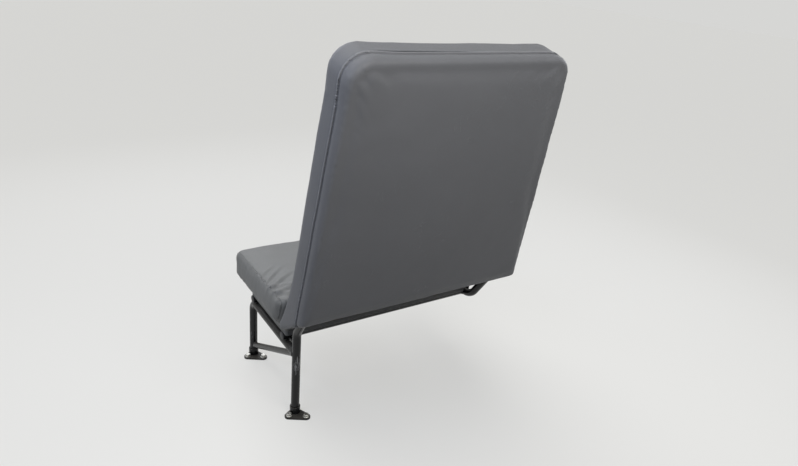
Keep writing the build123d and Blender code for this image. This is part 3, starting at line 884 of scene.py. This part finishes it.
def weld_bead(points, radius, closed):
    """A weld bead along points: a round bead whose ripples, about 3 mm apart, swell and narrow it."""
    curve = bpy.data.curves.new("bead", "CURVE")
    curve.dimensions = "3D"
    spline = curve.splines.new("POLY")
    dense = []
    loop = points + points[:1] if closed else points
    for a, b in zip(loop, loop[1:]):
        steps = max(1, round((b - a).length / 0.001))
        dense += [a.lerp(b, k / steps) for k in range(steps)]
    if not closed:
        dense.append(points[-1])
    spline.points.add(len(dense) - 1)
    for i, (point, place) in enumerate(zip(spline.points, dense)):
        point.co = (*place, 1)
        taper = 1.0 if closed else min(1.0, 0.35 + 0.25 * min(i, len(dense) - 1 - i))
        point.radius = taper * (0.92 + 0.16 * abs(math.sin(i * math.pi / 3)) + 0.1 * noise.noise(place * 300))
    spline.use_cyclic_u = closed
    curve.bevel_depth = radius
    curve.bevel_resolution = 2
    curve.use_fill_caps = not closed
    only(placed("bead", curve))
    bpy.ops.object.convert(target="MESH")
    bpy.ops.object.shade_smooth()
    return bpy.context.object


# Heights where the brace's middle line meets those of the front and the rear leg
BRACE_LOW_Z, BRACE_HIGH_Z = 0.038, 0.213
# Radii of the beads under the cross tubes, round the gussets and sockets, and along the bracket
CROSS_BEAD, FINE_BEAD, BRACKET_BEAD = 0.0034, 0.0016, 0.0030
# The beads between a cross tube and the side rail: height, half length, and distance from the tube's middle
CROSS_BEAD_Z, CROSS_BEAD_HALF, CROSS_BEAD_OFFSET = 0.2262, 0.009, 0.0085
SOCKET_BEAD_RADIUS = 0.0141


class SEAT_OT_weld_frame(bpy.types.Operator):
    """Lays the weld beads where the tubes, the brace, the feet, the gussets and the bracket meet"""

    bl_idname = "seat.weld_frame"
    bl_label = "Weld the frame"

    def execute(self, context):
        s = context.scene.seat_frame
        up = Vector((0, 0, 1))
        rear, front = Vector((LEG_X, REAR_LEG_Y, 0)), Vector((LEG_X, FRONT_LEG_Y, 0))
        beads = []

        def ring(start, along, radius, on, axis):
            points = coped_ring(start, along, radius, on, axis, TUBE_RADIUS + 0.0004)
            beads.append(weld_bead(points, s.weld, True))

        def run(a, b, radius):
            beads.append(weld_bead([Vector(a), Vector(b)], radius, False))

        # The side rail on the rear leg, the brace on both legs, the cross tubes on the wall rail
        ring(Vector((LEG_X, 0, SIDE_RAIL_Z)), Vector((0, -1, 0)), TUBE_RADIUS, rear, up)
        low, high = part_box("leg_brace")
        brace_radius = (high.x - low.x) / 2
        low, high = Vector((LEG_X, FRONT_LEG_Y, BRACE_LOW_Z)), Vector((LEG_X, REAR_LEG_Y, BRACE_HIGH_Z))
        middle = (low + high) / 2
        ring(middle, low - high, brace_radius, front, up)
        ring(middle, high - low, brace_radius, rear, up)
        wall_rail = Vector((WALL_RAIL_X, 0, CROSS_TUBE_Z))
        for node in ("front_cross_tube", "rear_cross_tube"):
            low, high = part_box(node)
            y = (low.y + high.y) / 2
            ring(Vector((0.4, y, CROSS_TUBE_Z)), Vector((1, 0, 0)), TUBE_RADIUS, wall_rail, Vector((0, 1, 0)))
            for bead_y in (y - CROSS_BEAD_OFFSET, y + CROSS_BEAD_OFFSET):
                start = (LEG_X - CROSS_BEAD_HALF, bead_y, CROSS_BEAD_Z)
                run(start, (LEG_X + CROSS_BEAD_HALF, bead_y, CROSS_BEAD_Z), CROSS_BEAD)
        # The gussets, above and below, along the rear cross tube and along the rear leg or the wall rail
        low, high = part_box("aisle_gusset")
        tube_y, leg_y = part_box("rear_cross_tube")[0].y - 0.0006, REAR_LEG_Y + TUBE_RADIUS + 0.0002
        for z in (low.z, high.z):
            run((low.x + 0.016, tube_y, z), (high.x - 0.003, tube_y, z), FINE_BEAD)
            run((low.x + 0.001, leg_y, z), (low.x + 0.009, REAR_LEG_Y + 0.0098, z), FINE_BEAD)
        low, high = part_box("wall_gusset")
        tube_y, rail_x = low.y - 0.0002, high.x + 0.0002
        for z in (low.z, high.z):
            run((low.x + 0.003, tube_y, z), (high.x - 0.002, tube_y, z), FINE_BEAD)
            run((rail_x, low.y + 0.003, z), (rail_x, high.y - 0.003, z), FINE_BEAD)
        # Three beads 30 mm long between the wall rail and the bracket, and one round each foot's socket
        low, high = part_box("wall_bracket")
        x, z = WALL_RAIL_X + 0.0085, low.z + 0.0055
        for y in (low.y + 0.012, 0.02, high.y - 0.042):
            run((x, y, z), (x, y + 0.03, z), BRACKET_BEAD)
        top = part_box("front_foot")[1].z
        turns = [2 * math.pi * i / RING_POINTS for i in range(RING_POINTS)]
        circle = [Vector((math.cos(a) * SOCKET_BEAD_RADIUS, math.sin(a) * SOCKET_BEAD_RADIUS, top)) for a in turns]
        for leg in (rear, front):
            beads.append(weld_bead([leg + spot for spot in circle], FINE_BEAD, True))
        welds = joined("frame_welds", beads)
        enamel = baked_enamel("black_enamel_on_weld", s.enamel, wear=0.0, dust=0.4)
        dress(welds, enamel, "frame")
        return {"FINISHED"}


class SEAT_OT_plug_tubes(bpy.types.Operator):
    """Closes the open aisle ends of the cross tubes with domed plastic plugs"""

    bl_idname = "seat.plug_tubes"
    bl_label = "Plug the tubes"

    def execute(self, context):
        plastic = moulded_plastic("black_polyethylene_plug", linear("#1B1B1D"))
        rim = 0.0022
        for node in ("front_cross_tube", "rear_cross_tube"):
            low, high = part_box(node)
            plug = upright_cylinder(40, TUBE_RADIUS - 0.0003, rim)
            step_in(plug, (0.0014, 0.0008), (0.0030, 0.0008), (0.0040, 0.0004))
            pick(plug, "FACE", lambda f: f.normal.z < -0.9)
            bpy.ops.mesh.inset(thickness=0.0026)
            bpy.ops.mesh.extrude_region_move(TRANSFORM_OT_translate={"value": (0, 0, -0.012)})
            apply_modifier(plug, "BEVEL", width=0.0005, segments=3, limit_method="ANGLE")
            bpy.ops.object.shade_smooth_by_angle(angle=math.radians(35))
            place = Matrix.Translation((low.x - rim / 2, (low.y + high.y) / 2, CROSS_TUBE_Z))
            plug.matrix_world = place @ Matrix.Rotation(-math.pi / 2, 4, "Y")
            plug.name = plug.data.name = node.replace("cross_tube", "tube_plug")
            dress(plug, plastic, "frame")
        return {"FINISHED"}


def pan_screw():
    """A pan-head screw with a cross recess, its head standing on z = 0."""
    screw = upright_cylinder(28, 0.0043, 0.0014, 0.0007)
    step_in(screw, (0.0006, 0.0005), (0.0012, 0.0004), (0.0012, 0.0001))
    blades = []
    for turn in (0, math.pi / 2):
        select_none()
        bpy.ops.mesh.primitive_cube_add(size=1.0, location=(0, 0, 0.0024))
        blade = bpy.context.object
        bpy.ops.transform.resize(value=(0.0044, 0.0011, 0.0024))
        blade.rotation_euler.z = turn
        settle(blade)
        blades.append(blade)
    for blade in blades:
        apply_modifier(screw, "BOOLEAN", object=blade, operation="DIFFERENCE", solver="EXACT")
        bpy.data.objects.remove(blade)
    only(screw)
    bpy.ops.object.shade_smooth_by_angle(angle=math.radians(35))
    return screw


def staple():
    """A flat-crown staple lying on z = 0: a wire bent down at both ends."""
    select_none()
    bpy.ops.mesh.primitive_cube_add(size=1.0)
    wire = bpy.context.object
    bpy.ops.transform.resize(value=(0.0100, 0.0012, 0.0006))
    settle(wire)
    for side in (-1, 1):
        pick(wire, "FACE", lambda f: f.normal.x * side > 0.9)
        bpy.ops.mesh.extrude_region_move(TRANSFORM_OT_translate={"value": (side * 0.0005, 0, -0.0007)})
    apply_modifier(wire, "BEVEL", width=0.0002, segments=2, limit_method="ANGLE")
    return wire


# The vinyl turned under the board: its width and thickness, how far it rises past the board, and its lower face,
# which stands a little below the board
HEM_WIDTH, HEM_SHEET, HEM_RISE, HEM_CORNER = 0.024, 0.0008, 0.0025, 0.0082
UNDER_BOARD = BOARD_LOW.z - 0.00025
# How far the rows of staples stand in from the board's edges, and start from its corners, and the most that a staple
# wanders out of line, by a seed that gives the same in each run
STAPLE_INSET, STAPLE_START = 0.012, 0.030
STAPLE_WANDER, STAPLE_SEED = 0.0018, 7
# Screws through the strips under the board: the strip, its thickness, half the screws' spacing, their place along it
STRIP_SCREWS = (("hinge_clip", 0.0025, 0.011, 0.010), ("spring_catch", 0.0020, 0.008, 0.026))


def turned_hem():
    """The vinyl turned under the board, as a sheet round its edges that ends in a ring below."""
    middle = (BOARD_LOW + BOARD_HIGH) / 2
    size = BOARD_HIGH - BOARD_LOW
    select_none()
    bpy.ops.mesh.primitive_cube_add(size=1.0)
    hem = bpy.context.object
    bpy.ops.transform.resize(value=(size.x + 0.0004, size.y + 0.0004, size.z + HEM_RISE))
    settle(hem)
    moved(hem, lambda p, n: Vector((middle.x, middle.y, UNDER_BOARD + size.z / 2 + HEM_RISE / 2)))
    pick(hem, "FACE", lambda f: f.normal.z < -0.9)
    bpy.ops.mesh.inset(thickness=HEM_WIDTH)
    bpy.ops.transform.translate(value=(0, 0, 0.0002))
    bpy.ops.mesh.delete(type="FACE")
    pick(hem, "EDGE", lambda e: abs((e.verts[0].co - e.verts[1].co).z) > 0.005)
    bpy.ops.mesh.bevel(offset=HEM_CORNER, segments=6)
    pick(hem, "FACE", lambda f: f.normal.z > 0.9)
    bpy.ops.mesh.delete(type="FACE")
    apply_modifier(hem, "SOLIDIFY", thickness=HEM_SHEET, offset=-1.0)
    apply_modifier(hem, "BEVEL", width=0.0002, segments=2, limit_method="ANGLE")
    hem.name = hem.data.name = "cushion_hem"
    bpy.ops.object.shade_smooth_by_angle(angle=math.radians(35))
    return hem


def hem_staples(pitch):
    """Staples in the hem along the board's edges, each a little out of line, none where a tube bears."""
    model = staple()
    noise.seed_set(STAPLE_SEED)
    tubes = [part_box(node) for node in ("front_cross_tube", "rear_cross_tube")]
    bearing = [(low.y - 0.004, high.y + 0.004) for low, high in tubes]
    left, right = BOARD_LOW.x + STAPLE_INSET, BOARD_HIGH.x - STAPLE_INSET
    rear, front = BOARD_LOW.y + STAPLE_INSET, BOARD_HIGH.y - STAPLE_INSET
    first_x, last_x = BOARD_LOW.x + STAPLE_START, BOARD_HIGH.x - STAPLE_START
    first_y, last_y = BOARD_LOW.y + STAPLE_START, BOARD_HIGH.y - STAPLE_START
    staples = []
    for x0, y0, x1, y1 in (
        (first_x, rear, last_x, rear),
        (first_x, front, last_x, front),
        (left, first_y, left, last_y),
        (right, first_y, right, last_y),
    ):
        count = round(math.hypot(x1 - x0, y1 - y0) / pitch)
        for i in range(count + 1):
            x, y = x0 + (x1 - x0) * i / count, y0 + (y1 - y0) * i / count
            if any(low < y < high for low, high in bearing):
                continue
            wander = noise.noise_vector(Vector((x * 90, y * 90, 1.0))) * STAPLE_WANDER
            turn = math.atan2(y1 - y0, x1 - x0) + wander.z * 120
            place = Matrix.Translation((x + wander.x, y + wander.y, UNDER_BOARD - 0.0002))
            mesh = model.data.copy()
            mesh.transform(place @ Matrix.Rotation(turn, 4, "Z") @ Matrix.Rotation(math.pi, 4, "X"))
            staples.append(placed("cushion_staples", mesh))
    bpy.data.objects.remove(model)
    return joined("cushion_staples", staples)


def strip_screws():
    """Two screws through each hinge clip and each spring catch."""
    screw = pan_screw()
    screws = []
    for strip, thickness, spread, back in STRIP_SCREWS:
        for side in ("aisle_", "wall_"):
            low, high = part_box(side + strip)
            for across in (-spread, spread):
                spot = ((low.x + high.x) / 2 + across, low.y + back, high.z - thickness)
                turn = Matrix.Rotation(math.pi, 4, "X") @ Matrix.Rotation(across * 60 + back * 9, 4, "Z")
                screws.append(copy_of(screw, Matrix.Translation(spot) @ turn))
    bpy.data.objects.remove(screw)
    return joined("clip_screws", screws)


class SEAT_OT_finish_board(bpy.types.Operator):
    """Finishes the board under the cushion: bare plywood, the vinyl turned under it and stapled, screwed clips"""

    bl_idname = "seat.finish_board"
    bl_label = "Finish the board"

    def execute(self, context):
        s, cushion = context.scene.seat_frame, context.scene.seat_cushion
        coat(frame["nodes"]["cushion_board"], softwood_plywood("bare_softwood_plywood", s.veneer))
        steel = zinc_plate("zinc_plated_spring_steel", s.zinc, tarnish=0.35)
        for strip, *_ in STRIP_SCREWS:
            for side in ("aisle_", "wall_"):
                coat(frame["nodes"][side + strip], steel)
        # The hem is the cushion's own vinyl, drawn at 0.7 of its colour: painted shade for the shadow under the
        # cushion's edge
        darker = [c * 0.7 for c in cushion.vinyl]
        hem_vinyl_painted_shade = grained_vinyl("pvc_vinyl_hem_painted_shade", darker, grain_mm=2.6, crease=0.3, dust=0.2)
        dress(turned_hem(), hem_vinyl_painted_shade, "cushion")
        dress(hem_staples(cushion.staple_pitch), steel, "cushion")
        dress(strip_screws(), steel, "cushion")
        return {"FINISHED"}


class SEAT_OT_paint_frame(bpy.types.Operator):
    """Finishes the welded frame in black enamel, more worn on the legs and brace than above"""

    bl_idname = "seat.paint_frame"
    bl_label = "Paint the frame"

    def execute(self, context):
        s = context.scene.seat_frame
        worn = baked_enamel("black_baked_enamel_worn", s.enamel, wear=0.16, dust=0.45)
        sound = baked_enamel("black_baked_enamel", s.enamel, wear=0.0, dust=0.35)
        for row in frame["record"]["subparts"]:
            if row["material_slot"] == "frame_paint":
                low_down = "leg" in row["node"] or "foot" in row["node"]
                coat(frame["nodes"][row["node"]], worn if low_down else sound)
        return {"FINISHED"}


# Where the photograph was taken from, in metres, and in degrees from +Y, below level and about the line of sight
CAMERA_PLACE = (-0.642, -1.572, 1.30)
CAMERA_HEADING, CAMERA_DIP, CAMERA_ROLL = -35.0, 23.65, 5.4
# The lights are aimed at the middle of the back
LIGHT_AIM = Vector((0.34, -0.30, 0.95))


class SEAT_OT_set_stage(bpy.types.Operator):
    """Sets the pale floor, the soft lights and the camera where the photograph was taken from"""

    bl_idname = "seat.set_stage"
    bl_label = "Set the stage"

    def execute(self, context):
        scene = context.scene
        s = scene.seat_stage
        scene.view_settings.view_transform = "Standard"
        select_none()
        bpy.ops.mesh.primitive_plane_add(size=40, location=(0.3, 0, 0))
        floor = context.object
        floor.name = "studio_floor"
        settle(floor)
        coat(floor, painted_floor("pale_matt_floor_paint", s.floor, bounce=0.10))
        world = bpy.data.worlds.new("studio_world")
        scene.world = world
        world.use_nodes = True
        tree = world.node_tree
        tree.nodes.clear()
        # The room lights the seat with a low even light, and the camera sees it as pale as the floor
        room = add(tree, "Background", {"Color": opaque(linear("#E6EAF2")), "Strength": s.sky})
        shown = add(tree, "Background", {"Color": opaque(s.floor), "Strength": 0.85})
        mix = add(tree, "MixShader", links={0: seen_by_eye(tree), 1: room, 2: shown})
        add(tree, "OutputWorld", links={"Surface": mix})
        # Lights: name, kind, place, power, size (for the sun its angle) and tint
        for name, kind, place, power, size, tint in (
            ("roof_light", "SUN", (0.1, 0.4, 3.0), s.sun, (1.0, 1.0), "#FFFDF8"),
            ("window_key", "AREA", (0.15, -1.5, 1.62), s.key, (1.2, 0.4), "#FFFCF6"),
            ("window_aisle", "AREA", (-1.15, -0.5, 1.55), s.fill, (1.4, 0.4), "#E4ECFF"),
            ("window_wall", "AREA", (2.4, -0.2, 1.5), s.fill, (1.8, 0.6), "#F4F7FF"),
            ("window_front", "AREA", (0.2, 2.2, 1.9), s.fill * 1.5, (2.2, 0.9), "#F4F7FF"),
        ):
            lamp = bpy.data.lights.new(name, kind)
            if kind == "SUN":
                lamp.angle = size[0]
            else:
                lamp.shape = "RECTANGLE"
                lamp.size, lamp.size_y = size
            lamp.energy = power
            lamp.color = linear(tint)
            light = placed(name, lamp)
            light.location = place
            light.rotation_euler = (LIGHT_AIM - Vector(place)).to_track_quat("-Z", "Y").to_euler()
            light.visible_camera = False
        camera = placed("photo_camera", bpy.data.cameras.new("photo_camera"))
        camera.data.sensor_width = 36
        camera.data.lens = s.lens
        camera.matrix_world = (
            Matrix.Translation(CAMERA_PLACE)
            @ Matrix.Rotation(math.radians(CAMERA_HEADING), 4, "Z")
            @ Matrix.Rotation(math.radians(90 - CAMERA_DIP), 4, "X")
            @ Matrix.Rotation(math.radians(CAMERA_ROLL), 4, "Z")
        )
        scene.camera = camera
        return {"FINISHED"}


class SEAT_PT_panel(bpy.types.Panel):
    """Bench seat tools in the 3D view's sidebar"""

    bl_idname = "SEAT_PT_panel"
    bl_label = "Bench Seat"
    bl_space_type = "VIEW_3D"
    bl_region_type = "UI"
    bl_category = "Bench Seat"

    def draw(self, context):
        for name in GROUPS:
            group = getattr(context.scene, name)
            box = self.layout.box()
            for setting in group.__annotations__:
                box.prop(group, setting)
        for operator in OPERATORS:
            self.layout.operator(operator.bl_idname)


OPERATORS = (
    SEAT_OT_set_stage,
    SEAT_OT_paint_frame,
    SEAT_OT_sew_back,
    SEAT_OT_sew_cushion,
    SEAT_OT_finish_board,
    SEAT_OT_drive_bolts,
    SEAT_OT_weld_frame,
    SEAT_OT_plug_tubes,
)
GROUPS = {
    "seat_back": BackSettings,
    "seat_cushion": CushionSettings,
    "seat_frame": FrameSettings,
    "seat_stage": StageSettings,
}


def register():
    for name, group in GROUPS.items():
        bpy.utils.register_class(group)
        setattr(bpy.types.Scene, name, PointerProperty(type=group))
    for operator in OPERATORS:
        bpy.utils.register_class(operator)
    bpy.utils.register_class(SEAT_PT_panel)


def unregister():
    bpy.utils.unregister_class(SEAT_PT_panel)
    for operator in reversed(OPERATORS):
        bpy.utils.unregister_class(operator)
    for name, group in GROUPS.items():
        delattr(bpy.types.Scene, name)
        bpy.utils.unregister_class(group)


def main():
    register()
    bpy.ops.seat.set_stage()
    bpy.ops.seat.paint_frame()
    bpy.ops.seat.sew_back()
    bpy.ops.seat.sew_cushion()
    bpy.ops.seat.finish_board()
    bpy.ops.seat.drive_bolts()
    bpy.ops.seat.weld_frame()
    bpy.ops.seat.plug_tubes()


if __name__ == "__main__":
    main()
